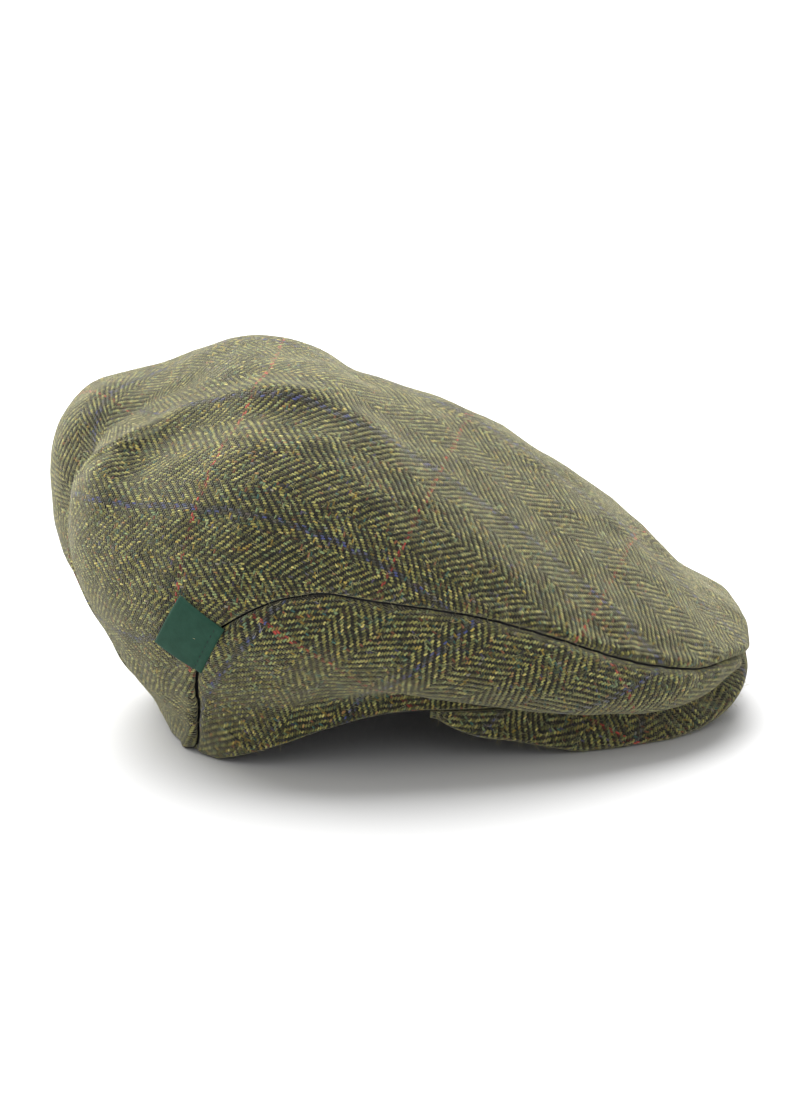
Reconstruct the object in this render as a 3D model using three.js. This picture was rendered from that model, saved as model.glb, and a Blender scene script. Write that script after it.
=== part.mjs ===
// A flat cap of herringbone tweed, lying on a table on its own rim and peak.
// Millimetres, +Z up. The peak points to -Y and the wearer's right side is at -X.
// The origin is on the table, under the middle of the cap.

import * as THREE from "three";
import { mergeVertices } from "three/addons/utils/BufferGeometryUtils.js";

// Driving sizes

// the oval that the head goes through, and how far forward of the cap's middle it sits
const headLength = 200;
const headWidth = 166;
const headForward = 4;
// how high the rim rises over the ears when the cap lies on a table
const archHeight = 21.5;

// the crown: its reach behind and before the cap's middle, its width and its height
const crownBack = 139;
const crownFront = 140.5;
const crownWidth = 196;
const crownHeight = 144;

// the peak: its reach before the cap's middle, its width, how far back its root begins
// at the temples, the height of its front edge, and its thickness
const peakReach = 141;
const peakWidth = 164;
const templeBack = 3;
const peakLift = 20.5;
const peakThickness = 4;
const peakTipThickness = 1.4;
const peakDome = 1;

// walls, and the gap between pieces that are sewn together
const clothThickness = 1.8;
const liningThickness = 0.9;
const sewnGap = 0.35;
const liningGap = 0.6;
const peakGap = 0.75;
// where the lining begins, in ring levels above the rim
const liningStart = 0.15;
// between these levels it hangs loose, away from the fold over the peak
const liningLoose = { from: 1, to: 3, slack: 1.4 };
// cloth nearer to the table than this is pressed flat on it
const restDepth = 1.1;

// the leather tab sewn in the right seam at the back
const labelLength = 23.5;
const labelWidth = 21;
const labelThickness = 1.4;
const labelTurn = 58;
const labelPlace = { angle: 39.5, level: 2.84 };

// the seam in the middle of the back
const grooveWidth = 13;
const grooveDepth = 15;
const groovePower = 1.5;
// how fast the groove, the peak's dome and the peak's thickness fade towards their ends
const grooveFade = 3;
const domeFade = 6;
const tipFade = 8;

// Sections

// The lowest two rings, as shares of the head opening and of the rim's rise.
// The seven heights run from the back of the ring, every 30 degrees, to its front.
const bandRings = [
  { ring: "rim", back: 1.0, front: 1.0, width: 1.0, squareBack: 3.2, squareFront: 2.2,
    heights: [-0.1, -0.1, 0.72, 1.0, 1.05, 1.21, 1.3] },
  { ring: "tuck", back: 1.06, front: 1.14, width: 1.0, squareBack: 3.1, squareFront: 2.3,
    heights: [0.56, 0.63, 1.23, 1.28, 1.02, 1.02, 1.3] },
];

// The crown's rings from its lower edge up to the pole, as shares of the crown's sizes.
// Middle is where a ring is widest, forward of the cap's middle.
const crownRings = [
  { ring: "edge", back: 0.83, front: 0.955, width: 0.929, middle: 0.029,
    squareBack: 2.9, squareFront: 2.4, heights: [0.2, 0.215, 0.257, 0.194, 0.125, 0.11, 0.17] },
  { ring: "bulge", back: 0.964, front: 1.0, width: 1.0, middle: 0.029,
    squareBack: 2.7, squareFront: 2.4, heights: [0.43, 0.41, 0.368, 0.3, 0.2, 0.167, 0.201] },
  { ring: "seam", back: 1.0, front: 0.971, width: 0.949, middle: 0.029,
    squareBack: 2.7, squareFront: 2.4, heights: [0.618, 0.597, 0.507, 0.434, 0.319, 0.243, 0.274] },
  { ring: "shoulder", back: 0.971, front: 0.849, width: 0.837, middle: 0.014,
    squareBack: 2.8, squareFront: 2.3, heights: [0.778, 0.764, 0.701, 0.604, 0.458, 0.361, 0.368] },
  { ring: "upper", back: 0.863, front: 0.647, width: 0.653, middle: -0.043,
    squareBack: 3.0, squareFront: 2.2, heights: [0.882, 0.875, 0.84, 0.75, 0.625, 0.535, 0.528] },
  { ring: "high", back: 0.676, front: 0.396, width: 0.449, middle: -0.1,
    squareBack: 2.8, squareFront: 2.1, heights: [0.938, 0.938, 0.924, 0.854, 0.778, 0.715, 0.708] },
  { ring: "crest", back: 0.432, front: 0.129, width: 0.224, middle: -0.144,
    squareBack: 2.2, squareFront: 2.0, heights: [0.99, 0.986, 0.972, 0.938, 0.896, 0.868, 0.854] },
  { ring: "pole", back: 0.173, front: -0.173, width: 0, middle: -0.173,
    squareBack: 2.0, squareFront: 2.0, heights: [0.951, 0.951, 0.951, 0.951, 0.951, 0.951, 0.951] },
];

// Dents and humps in the stuffed crown: the place and the spread as shares of half the
// width (x), of the back reach (y) and of the height (z), and the lift as one of the height.
const dents = [
  { dent: "left hump", x: 0.35, y: 0.43, z: 1.01, spreadX: 0.33, spreadY: 0.2, spreadZ: 0.42, lift: 0.049 },
  { dent: "left corner", x: 0.4, y: 0.86, z: 0.88, spreadX: 0.35, spreadY: 0.17, spreadZ: 0.3, lift: 0.028 },
  { dent: "right slump", x: -0.45, y: 0.8, z: 0.84, spreadX: 0.5, spreadY: 0.27, spreadZ: 0.42, lift: -0.132 },
  { dent: "top dip", x: 0.1, y: -0.03, z: 0.9, spreadX: 0.5, spreadY: 0.16, spreadZ: 0.3, lift: -0.0055 },
  { dent: "brow dip", x: 0, y: -0.86, z: 0.38, spreadX: 0.6, spreadY: 0.12, spreadZ: 0.3, lift: -0.025 },
];

// Depth of the back seam's groove along the rings, as shares of grooveDepth
const grooveLevels = [0, 1.5, 3, 4, 5, 6, 7, 8, 9];
const grooveShares = [0, 0, 0.15, 0.48, 0.7, 0.38, 0.1, 0, 0];

// The seam between top and side panel: its ring level at each angle from the back
const seamAngles = [27, 33.4, 38, 45.3, 56.3, 64.4, 82, 109, 123, 135.7, 143.7, 153.2, 163.6, 171];
const seamLevels = [0, 1.2, 2.15, 3.1, 3.82, 4, 4, 4, 3.95, 3.8, 3.6, 3.4, 2.4, 0];

// Height of the peak's edge round from the temple to the front, as shares of peakLift
const peakEdgeAngles = [90, 95.6, 103, 112, 121, 128, 144, 150, 156, 163, 170, 180];
const peakEdgeHeights = [0.88, 0.68, 0.46, 0.32, 0.14, 0.02, 0.04, 0.12, 0.28, 0.57, 0.85, 1.05];
const peakEdgeSquare = 2.7;

// Mesh density
const columnStep = 4.5;
const panelLevels = [0.5, 1, 1.5, 2, 2.5, 3, 3.5, 4, 4.5, 5, 5.5, 6, 6.5, 7, 7.5, 8, 8.5];
const liningLevels = [0.5, 1, 3, 3.5, 4, 4.5, 5, 5.5, 6, 6.5, 7, 8];
const leastRise = 0.12;
const seamProbe = 0.05;
const seamSpace = 1.5;
const tipTurn = 0.5;
const peakColumns = 40;
const peakRows = 5;
// small steps that surfaces are probed by for their normals, and points that count as one
const turnProbe = 0.002;
const levelProbe = 0.01;
const alongProbe = 0.004;
const outProbe = 0.02;
const mergeDistance = 0.001;

// Curves

const radians = THREE.MathUtils.degToRad;

// monotone cubic through a short row of stations
function throughStations(stations, values, at) {
  const last = stations.length - 1;
  const x = THREE.MathUtils.clamp(at, stations[0], stations[last]);
  const slopes = new Array(last + 1).fill(0);
  const run = (i) => stations[i + 1] - stations[i];
  const rise = (i) => (values[i + 1] - values[i]) / run(i);
  for (let i = 1; i < last; i++) {
    if (rise(i - 1) * rise(i) > 0) {
      const before = 2 * run(i) + run(i - 1);
      const after = run(i) + 2 * run(i - 1);
      slopes[i] = (before + after) / (before / rise(i - 1) + after / rise(i));
    }
  }
  let i = 0;
  while (i < last - 1 && x > stations[i + 1]) i++;
  const t = (x - stations[i]) / run(i);
  return (1 + 2 * t) * (1 - t) ** 2 * values[i]
    + t * (1 - t) ** 2 * run(i) * slopes[i]
    + t * t * (3 - 2 * t) * values[i + 1]
    + t * t * (t - 1) * run(i) * slopes[i + 1];
}

// straight lines through a short row of stations
function alongStations(stations, values, at) {
  const last = stations.length - 1;
  let i = 0;
  while (i < last - 1 && at > stations[i + 1]) i++;
  const t = THREE.MathUtils.clamp((at - stations[i]) / (stations[i + 1] - stations[i]), 0, 1);
  return values[i] + (values[i + 1] - values[i]) * t;
}

// the smooth even wave through values that stand evenly from the back round to the front
function evenWave(values, angle) {
  const parts = values.length - 1;
  let height = 0;
  for (let k = 0; k <= parts; k++) {
    let strength = 0;
    for (let j = 0; j <= parts; j++) {
      const share = j === 0 || j === parts ? 0.5 : 1;
      strength += share * values[j] * Math.cos(Math.PI * j * k / parts);
    }
    const share = k === 0 || k === parts ? 0.5 : 1;
    height += 2 / parts * share * strength * Math.cos(k * angle);
  }
  return height;
}

// reach of a squared oval in one direction from its middle
function ovalReach(angle, halfWidth, reach, square) {
  if (halfWidth === 0) return 0;
  const across = Math.abs(Math.sin(angle)) / halfWidth;
  const along = Math.abs(Math.cos(angle)) / reach;
  return (across ** square + along ** square) ** (-1 / square);
}

// The crown's surface

// all rings in millimetres, with their reach measured from their own middle
const rings = [
  ...bandRings.map((row) => ({
    middle: -headForward,
    back: row.back * headLength / 2,
    front: row.front * headLength / 2,
    half: row.width * headWidth / 2,
    squareBack: row.squareBack,
    squareFront: row.squareFront,
    heights: row.heights.map((share) => share * archHeight),
  })),
  ...crownRings.map((row) => ({
    middle: -row.middle * crownBack,
    back: row.back * crownBack + row.middle * crownBack,
    front: row.front * crownFront - row.middle * crownBack,
    half: row.width * crownWidth / 2,
    squareBack: row.squareBack,
    squareFront: row.squareFront,
    heights: row.heights.map((share) => share * crownHeight),
  })),
];
const poleLevel = rings.length - 1;

// a point of one ring: angle 0 is the back, a quarter turn on is the right side; a ring
// that reaches the table stays on it
function ringPoint(ring, angle) {
  const behind = Math.cos(angle) >= 0;
  const reach = ovalReach(angle, ring.half, behind ? ring.back : ring.front,
    behind ? ring.squareBack : ring.squareFront);
  return new THREE.Vector3(
    -reach * Math.sin(angle),
    ring.middle + reach * Math.cos(angle),
    Math.max(0, evenWave(ring.heights, angle)),
  );
}

// the smooth crown before its dents: a curve over all rings at one angle
function smoothCrown(angle, level) {
  const at = THREE.MathUtils.clamp(level, 0, poleLevel);
  const start = Math.min(Math.floor(at), poleLevel - 1);
  const t = at - start;
  const pick = (i) => {
    if (i < 0) return ringPoint(rings[0], angle).multiplyScalar(2).sub(ringPoint(rings[1], angle));
    if (i > poleLevel) return ringPoint(rings[poleLevel - 1], angle + Math.PI);
    return ringPoint(rings[i], angle);
  };
  const [a, b, c, d] = [pick(start - 1), pick(start), pick(start + 1), pick(start + 2)];
  const point = new THREE.Vector3();
  for (const axis of ["x", "y", "z"]) {
    const linear = c[axis] - a[axis];
    const square = 2 * a[axis] - 5 * b[axis] + 4 * c[axis] - d[axis];
    const cube = 3 * b[axis] - a[axis] - 3 * c[axis] + d[axis];
    point[axis] = 0.5 * (2 * b[axis] + linear * t + square * t * t + cube * t * t * t);
  }
  return point;
}

// normal of a surface of two parameters, by small steps of each
function normalOf(surface, u, v, stepU, stepV) {
  const alongU = surface(u + stepU, v).sub(surface(u - stepU, v));
  const alongV = surface(u, v + stepV).sub(surface(u, v - stepV));
  return alongU.cross(alongV).normalize();
}

// outward normal of the crown: straight up at the pole
function crownNormal(surface, angle, level) {
  if (level > poleLevel - levelProbe) return new THREE.Vector3(0, 0, 1);
  const within = THREE.MathUtils.clamp(level, levelProbe, poleLevel - 2 * levelProbe);
  return normalOf(surface, angle, within, turnProbe, levelProbe);
}

// how far the dents and the back seam push a point of the smooth crown out or in
function dentLift(point, angle, level) {
  let lift = 0;
  for (const dent of dents) {
    const x = (point.x - dent.x * crownWidth / 2) / (dent.spreadX * crownWidth / 2);
    const y = (point.y - dent.y * crownBack) / (dent.spreadY * crownBack);
    const z = (point.z - dent.z * crownHeight) / (dent.spreadZ * crownHeight);
    lift += dent.lift * crownHeight * Math.exp(-(x * x + y * y + z * z));
  }
  const behind = THREE.MathUtils.clamp(grooveFade * Math.cos(angle), 0, 1);
  const depth = grooveDepth * throughStations(grooveLevels, grooveShares, level) * behind;
  return lift - depth * Math.exp(-((Math.abs(point.x) / grooveWidth) ** groovePower));
}

// cloth that reaches the table lies flat on it
function pressed(point) {
  if (point.z < restDepth) point.z = 0;
  return point;
}

function crownSurface(angle, level) {
  const point = smoothCrown(angle, level);
  const lift = dentLift(point, angle, level);
  return point.addScaledVector(crownNormal(smoothCrown, angle, level), lift);
}

// a point inside the crown's outer surface by some depth, along the crown's normal
function crownPoint(angle, level, depth) {
  const normal = crownNormal(crownSurface, angle, level);
  return pressed(crownSurface(angle, level).addScaledVector(normal, -depth));
}

// the level of the side seam, in degrees from the back
const seamLevel = (degrees) => alongStations(seamAngles, seamLevels, degrees);

// how many levels below the seam a side panel ends, to keep the sewn gap on both sides
function seamInset(degrees) {
  const at = (turn, lift) => crownSurface(radians(degrees + turn), seamLevel(degrees + turn) + lift);
  const rise = at(0, seamProbe).sub(at(0, -seamProbe)).divideScalar(2 * seamProbe);
  const insets = [-columnStep, columnStep].map((turn) => {
    const along = at(turn, 0).sub(at(0, 0)).normalize();
    return seamSpace * sewnGap / rise.clone().cross(along).length();
  });
  return Math.max(...insets);
}

// Solids

// A closed wall between an outer and an inner surface. Every column of points has its own
// levels, and neighbours are joined by always stepping up the column that lags behind.
function wallGeometry(columns, pointAt, wraps) {
  const points = [];
  const placed = columns.map(({ at, levels }) => levels.map((level) => {
    points.push(pointAt(at, level, false), pointAt(at, level, true));
    return { level, outer: points.length - 2, inner: points.length - 1 };
  }));
  const faces = [];
  const both = (a, b, c) => faces.push([a.outer, b.outer, c.outer], [a.inner, c.inner, b.inner]);
  const border = (a, b) => faces.push([a.outer, b.outer, b.inner], [a.outer, b.inner, a.inner]);
  const spans = wraps ? placed.length : placed.length - 1;
  for (let i = 0; i < spans; i++) {
    const here = placed[i];
    const next = placed[(i + 1) % placed.length];
    const topHere = here.length - 1;
    const topNext = next.length - 1;
    border(here[0], next[0]);
    border(next[topNext], here[topHere]);
    let a = 0;
    let b = 0;
    while (a < topHere || b < topNext) {
      const lags = b === topNext || (a < topHere && here[a + 1].level <= next[b + 1].level);
      if (lags) {
        both(here[a], here[a + 1], next[b]);
        a++;
      } else {
        both(here[a], next[b + 1], next[b]);
        b++;
      }
    }
  }
  if (!wraps) {
    const first = placed[0];
    const last = placed[placed.length - 1];
    for (let j = 1; j < first.length; j++) border(first[j], first[j - 1]);
    for (let j = 1; j < last.length; j++) border(last[j - 1], last[j]);
  }
  return closedGeometry(points, faces);
}

// merges points that meet, drops faces that shrank to a line and turns the rest outward
function closedGeometry(points, faces) {
  const raw = new THREE.BufferGeometry();
  raw.setAttribute("position", new THREE.Float32BufferAttribute(points.flatMap((p) => p.toArray()), 3));
  raw.setIndex(faces.flat());
  const merged = mergeVertices(raw, mergeDistance);
  const index = merged.getIndex().array;
  const kept = [];
  for (let i = 0; i < index.length; i += 3) {
    const [a, b, c] = [index[i], index[i + 1], index[i + 2]];
    if (a !== b && b !== c && c !== a) kept.push([a, b, c]);
  }
  const at = (i) => new THREE.Vector3().fromBufferAttribute(merged.getAttribute("position"), i);
  const volume = kept.reduce((sum, [a, b, c]) => sum + at(a).dot(at(b).cross(at(c))), 0);
  merged.setIndex(kept.flatMap(([a, b, c]) => (volume < 0 ? [a, c, b] : [a, b, c])));
  merged.computeVertexNormals();
  return merged;
}

// the levels of one column, from its lower to its upper end
function columnLevels(stations, lower, upper) {
  if (upper - lower < leastRise) return [lower];
  const between = stations.filter((level) => level > lower + leastRise && level < upper - leastRise);
  return [lower, ...between, upper];
}

// a wall between two depths under the crown's surface
function crownWall(columns, side, outerDepth, innerDepth, wraps) {
  const pointAt = (degrees, level, isInner) =>
    crownPoint(side * radians(degrees), level, isInner ? innerDepth : outerDepth);
  return wallGeometry(columns, pointAt, wraps);
}

function stepsBetween(first, last, step) {
  const count = Math.round((last - first) / step);
  return Array.from({ length: count + 1 }, (_, i) => first + i * (last - first) / count);
}

const seamStart = seamAngles[0];
const seamEnd = seamAngles[seamAngles.length - 1];
const wholeTurn = stepsBetween(0, 360 - columnStep, columnStep);

// the top panel: over the crown from the front edge down to the rim at the back
function topPanel() {
  const lower = (degrees) => {
    const folded = Math.min(degrees, 360 - degrees);
    return folded > seamStart && folded < seamEnd ? seamLevel(folded) : 0;
  };
  const columns = wholeTurn.map((degrees) => (
    { at: degrees, levels: columnLevels(panelLevels, lower(degrees), poleLevel) }
  ));
  return crownWall(columns, 1, 0, clothThickness, true);
}

// a side panel: the long crescent between the rim and the side seam
function sidePanel(side) {
  const inner = stepsBetween(seamStart + columnStep, seamEnd - columnStep, columnStep);
  const columns = [
    { at: seamStart + tipTurn, levels: [0] },
    ...inner.map((degrees) => (
      { at: degrees, levels: columnLevels(panelLevels, 0, seamLevel(degrees) - seamInset(degrees)) }
    )),
    { at: seamEnd - tipTurn, levels: [0] },
  ];
  return crownWall(columns, side, 0, clothThickness, false);
}

// the lining: a thin shell inside both panels, sewn in a little above the rim
function lining() {
  const outerDepth = clothThickness + liningGap;
  const slack = (level) => (level >= liningLoose.from && level <= liningLoose.to ? liningLoose.slack : 0);
  const pointAt = (degrees, level, isInner) =>
    crownPoint(radians(degrees), level, outerDepth + slack(level) + (isInner ? liningThickness : 0));
  const columns = wholeTurn.map((degrees) => (
    { at: degrees, levels: columnLevels(liningLevels, liningStart, poleLevel) }
  ));
  return wallGeometry(columns, pointAt, true);
}

// The peak

// the line where the peak is sewn under the crown; along runs from 0 at the right temple to 1
function peakRoot(along) {
  const temple = 90 - THREE.MathUtils.radToDeg(Math.asin((headForward + templeBack) / (headWidth / 2)));
  const angle = radians(THREE.MathUtils.lerp(temple, 360 - temple, along));
  const point = ringPoint(rings[0], angle);
  point.z -= peakGap;
  return point;
}

// the peak's free edge
function peakEdge(along) {
  const degrees = 90 + 180 * along;
  const angle = radians(degrees);
  const reach = ovalReach(angle, peakWidth / 2, peakReach + templeBack, peakEdgeSquare);
  const height = peakLift * throughStations(peakEdgeAngles, peakEdgeHeights, Math.min(degrees, 360 - degrees));
  return new THREE.Vector3(
    -reach * Math.sin(angle),
    templeBack + reach * Math.cos(angle),
    height,
  );
}

// the peak's upper side, from its root at out 0 to its edge at out 1
function peakSurface(along, out) {
  const fromTemple = THREE.MathUtils.clamp(domeFade * Math.min(along, 1 - along), 0, 1);
  const root = peakRoot(along);
  const edge = peakEdge(along);
  const dome = root.clone().add(edge).multiplyScalar(0.5);
  dome.z += peakDome * fromTemple;
  return root.multiplyScalar((1 - out) ** 2)
    .addScaledVector(dome, 2 * out * (1 - out))
    .addScaledVector(edge, out * out);
}

function peak() {
  const thickness = (along) => THREE.MathUtils.lerp(peakTipThickness, peakThickness,
    THREE.MathUtils.clamp(tipFade * Math.min(along, 1 - along), 0, 1));
  const pointAt = (along, out, isInner) => {
    const held = THREE.MathUtils.clamp(along, 2.5 * alongProbe, 1 - 2.5 * alongProbe);
    const within = THREE.MathUtils.clamp(out, outProbe, 1 - outProbe);
    const under = normalOf(peakSurface, held, within, alongProbe, outProbe);
    return pressed(peakSurface(along, out).addScaledVector(under, isInner ? thickness(along) : 0));
  };
  const levels = stepsBetween(0, 1, 1 / peakRows);
  const columns = stepsBetween(0, 1, 1 / peakColumns).map((along) => ({ at: along, levels }));
  return wallGeometry(columns, pointAt, false);
}

// the leather tab: a thin plate that lies on the crown where its seam edge is sewn in
function label() {
  const angle = radians(labelPlace.angle);
  const normal = crownNormal(crownSurface, angle, labelPlace.level);
  const centre = crownSurface(angle, labelPlace.level);
  const plate = new THREE.BoxGeometry(labelLength, labelWidth, labelThickness);
  const upright = new THREE.Vector3(0, 0, 1);
  const across = upright.clone().cross(normal).normalize();
  const rise = normal.clone().cross(across).normalize();
  const basis = new THREE.Matrix4().makeBasis(across, rise, normal);
  plate.rotateZ(radians(labelTurn));
  plate.translate(0, 0, labelThickness / 2 + sewnGap);
  plate.applyMatrix4(basis);
  plate.translate(centre.x, centre.y, centre.z);
  return plate;
}

// Assembly

const tweedOlive = new THREE.Color(0x5c5a3c);
const liningBlack = new THREE.Color(0x232323);
const leatherGreen = new THREE.Color(0x3a5f4c);
const tweedRoughness = 0.95;
const liningRoughness = 0.7;
const leatherRoughness = 0.6;

const cap = new THREE.Group();

function add(name, geometry, color, roughness) {
  const material = new THREE.MeshStandardMaterial({ color, roughness, metalness: 0 });
  const mesh = new THREE.Mesh(geometry, material);
  mesh.name = name;
  cap.add(mesh);
}

add("crown_top", topPanel(), tweedOlive, tweedRoughness);
add("side_panel_right", sidePanel(1), tweedOlive, tweedRoughness);
add("side_panel_left", sidePanel(-1), tweedOlive, tweedRoughness);
add("peak", peak(), tweedOlive, tweedRoughness);
add("lining", lining(), liningBlack, liningRoughness);
add("label", label(), leatherGreen, leatherRoughness);

// the origin goes under the middle of the cap
const box = new THREE.Box3().setFromObject(cap);
const middle = box.getCenter(new THREE.Vector3());
for (const mesh of cap.children) mesh.geometry.translate(-middle.x, -middle.y, -box.min.z);

export default cap;
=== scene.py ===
# A flat cap of herringbone tweed, lying on a pale table.
# Shapes are worked out in millimetres and turned into metres when a mesh is made.

import math

import bmesh
import bpy
import numpy as np
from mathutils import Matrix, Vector


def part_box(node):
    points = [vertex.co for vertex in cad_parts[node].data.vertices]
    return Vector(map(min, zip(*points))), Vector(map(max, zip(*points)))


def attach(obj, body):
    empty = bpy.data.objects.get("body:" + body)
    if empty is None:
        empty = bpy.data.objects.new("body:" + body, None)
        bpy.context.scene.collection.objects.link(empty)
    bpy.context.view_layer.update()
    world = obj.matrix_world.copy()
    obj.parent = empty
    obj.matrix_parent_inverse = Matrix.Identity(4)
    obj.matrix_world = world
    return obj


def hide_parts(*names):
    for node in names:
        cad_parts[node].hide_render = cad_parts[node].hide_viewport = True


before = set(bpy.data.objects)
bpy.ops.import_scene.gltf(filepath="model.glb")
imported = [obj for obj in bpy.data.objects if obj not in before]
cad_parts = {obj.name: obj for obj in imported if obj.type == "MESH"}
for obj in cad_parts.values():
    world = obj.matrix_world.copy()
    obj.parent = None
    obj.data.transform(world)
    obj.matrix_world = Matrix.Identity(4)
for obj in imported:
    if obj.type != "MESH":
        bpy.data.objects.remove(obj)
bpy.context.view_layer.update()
scene = bpy.context.scene
print("frame loaded:", sorted(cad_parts))


# Sizes of the cap, in mm

cap = {
    "headLength": 200, "headWidth": 166, "headForward": 4, "archHeight": 21.5,
    "crownBack": 139, "crownFront": 140.5, "crownWidth": 196, "crownHeight": 144,
    "clothThickness": 1.8,
}

# the two lowest rings, as shares of the head opening and of the rim's rise
# ring: back, front, width, middle, squareBack, squareFront, heights from back to front
bandRings = [
    (1.0, 1.0, 1.0, 0, 3.2, 2.2, (-0.1, -0.1, 0.72, 1.0, 1.05, 1.21, 1.3)),
    (1.06, 1.14, 1.0, 0, 3.1, 2.3, (0.56, 0.63, 1.23, 1.28, 1.02, 1.02, 1.3)),
]

# the crown's rings: edge, bulge, seam, shoulder, upper, high, crest and pole
crownRings = [
    (0.83, 0.955, 0.929, 0.029, 2.9, 2.4, (0.2, 0.215, 0.257, 0.194, 0.125, 0.11, 0.17)),
    (0.964, 1.0, 1.0, 0.029, 2.7, 2.4, (0.43, 0.41, 0.368, 0.3, 0.2, 0.167, 0.201)),
    (1.0, 0.971, 0.949, 0.029, 2.7, 2.4, (0.618, 0.597, 0.507, 0.434, 0.319, 0.243, 0.274)),
    (0.971, 0.849, 0.837, 0.014, 2.8, 2.3, (0.778, 0.764, 0.701, 0.604, 0.458, 0.361, 0.368)),
    (0.863, 0.647, 0.653, -0.043, 3.0, 2.2, (0.882, 0.875, 0.84, 0.75, 0.625, 0.535, 0.528)),
    (0.676, 0.396, 0.449, -0.1, 2.8, 2.1, (0.938, 0.938, 0.924, 0.854, 0.778, 0.715, 0.708)),
    (0.432, 0.129, 0.224, -0.144, 2.2, 2.0, (0.99, 0.986, 0.972, 0.938, 0.896, 0.868, 0.854)),
    (0.173, -0.173, 0, -0.173, 2.0, 2.0, (0.951,) * 7),
]

# dents and humps of the stuffed crown: place, spread (shares of the crown) and lift in mm
dents = [
    ("left hump", (0.35, 0.43, 1.01), (0.33, 0.2, 0.42), 7),
    ("left corner", (0.4, 0.86, 0.88), (0.35, 0.17, 0.3), 4),
    ("right slump", (-0.45, 0.8, 0.84), (0.5, 0.27, 0.42), -19),
    ("top dip", (0.1, -0.03, 0.9), (0.5, 0.16, 0.3), -0.8),
    ("brow dip", (0, -0.86, 0.38), (0.6, 0.12, 0.3), -3.6),
]

# the hollow along the seam in the middle of the back
groove = {
    "width": 13, "depth": 15,
    "levels": (0, 1.5, 3, 4, 5, 6, 7, 8, 9),
    "shares": (0, 0, 0.15, 0.48, 0.7, 0.38, 0.1, 0, 0),
}

# the seam between top and side panel: its level at each angle from the back
sideSeam = {
    "angles": (27, 33.4, 38, 45.3, 56.3, 64.4, 82, 109, 123, 135.7, 143.7, 153.2, 163.6, 171),
    "levels": (0, 1.2, 2.15, 3.1, 3.82, 4, 4, 4, 3.95, 3.8, 3.6, 3.4, 2.4, 0),
}


# Curves

def throughStations(stations, values, at):
    # monotone cubic through a short row of stations
    x = np.asarray(stations, float)
    y = np.asarray(values, float)
    run = np.diff(x)
    rise = np.diff(y) / run
    slopes = np.zeros(len(x))
    for i in range(1, len(x) - 1):
        if rise[i - 1] * rise[i] > 0:
            before = 2 * run[i] + run[i - 1]
            after = run[i] + 2 * run[i - 1]
            slopes[i] = (before + after) / (before / rise[i - 1] + after / rise[i])
    at = np.clip(at, x[0], x[-1])
    i = np.clip(np.searchsorted(x, at, side="right") - 1, 0, len(x) - 2)
    t = (at - x[i]) / run[i]
    return ((1 + 2 * t) * (1 - t) ** 2 * y[i] + t * (1 - t) ** 2 * run[i] * slopes[i]
            + t * t * (3 - 2 * t) * y[i + 1] + t * t * (t - 1) * run[i] * slopes[i + 1])


def evenWave(values, angle):
    # the smooth wave through values that stand evenly from the back round to the front
    parts = len(values) - 1
    share = [0.5 if k in (0, parts) else 1 for k in range(parts + 1)]
    height = 0
    for k in range(parts + 1):
        strength = sum(share[j] * values[j] * math.cos(math.pi * j * k / parts) for j in range(parts + 1))
        height = height + 2 / parts * share[k] * strength * np.cos(k * angle)
    return height


def ovalReach(angle, half, reach, square):
    if half == 0:
        return np.zeros_like(angle)
    across = np.abs(np.sin(angle)) / half
    along = np.abs(np.cos(angle)) / reach
    return (across ** square + along ** square) ** (-1 / square)


def unit(vectors):
    return vectors / np.maximum(np.linalg.norm(vectors, axis=-1, keepdims=True), 1e-9)


def normalsOf(surface, u, v, stepU, stepV):
    alongU = surface(u + stepU, v) - surface(u - stepU, v)
    alongV = surface(u, v + stepV) - surface(u, v - stepV)
    return unit(np.cross(alongU, alongV))


def catmullRom(a, b, c, d, t):
    return 0.5 * (2 * b + (c - a) * t + (2 * a - 5 * b + 4 * c - d) * t * t
                  + (3 * b - a - 3 * c + d) * t ** 3)


# The crown's surface: angle 0 is the back and grows over the right side, level runs from
# the rim at 0 to the pole

def ringTable():
    rings = []
    for back, front, width, middle, squareBack, squareFront, heights in bandRings:
        rings.append({
            "middle": -cap["headForward"], "half": width * cap["headWidth"] / 2,
            "back": back * cap["headLength"] / 2, "front": front * cap["headLength"] / 2,
            "squareBack": squareBack, "squareFront": squareFront,
            "heights": [h * cap["archHeight"] for h in heights],
        })
    for back, front, width, middle, squareBack, squareFront, heights in crownRings:
        shift = middle * cap["crownBack"]
        rings.append({
            "middle": -shift, "half": width * cap["crownWidth"] / 2,
            "back": back * cap["crownBack"] + shift, "front": front * cap["crownFront"] - shift,
            "squareBack": squareBack, "squareFront": squareFront,
            "heights": [h * cap["crownHeight"] for h in heights],
        })
    return rings


rings = ringTable()
poleLevel = len(rings) - 1


def ringPoints(ring, angle):
    behind = np.cos(angle) >= 0
    reach = np.where(behind, ovalReach(angle, ring["half"], ring["back"], ring["squareBack"]),
                     ovalReach(angle, ring["half"], ring["front"], ring["squareFront"]))
    height = np.maximum(0, evenWave(ring["heights"], angle))
    return np.stack([-reach * np.sin(angle), ring["middle"] + reach * np.cos(angle), height], -1)


def smoothCrown(angle, level):
    at = np.clip(level, 0, poleLevel)
    start = np.minimum(np.floor(at).astype(int), poleLevel - 1)
    points = [ringPoints(ring, angle) for ring in rings]
    table = np.stack([2 * points[0] - points[1], *points, ringPoints(rings[-2], angle + math.pi)])

    def pick(shift):
        return np.take_along_axis(table, (start + shift)[None, ..., None], axis=0)[0]

    return catmullRom(pick(0), pick(1), pick(2), pick(3), (at - start)[..., None])


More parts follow.
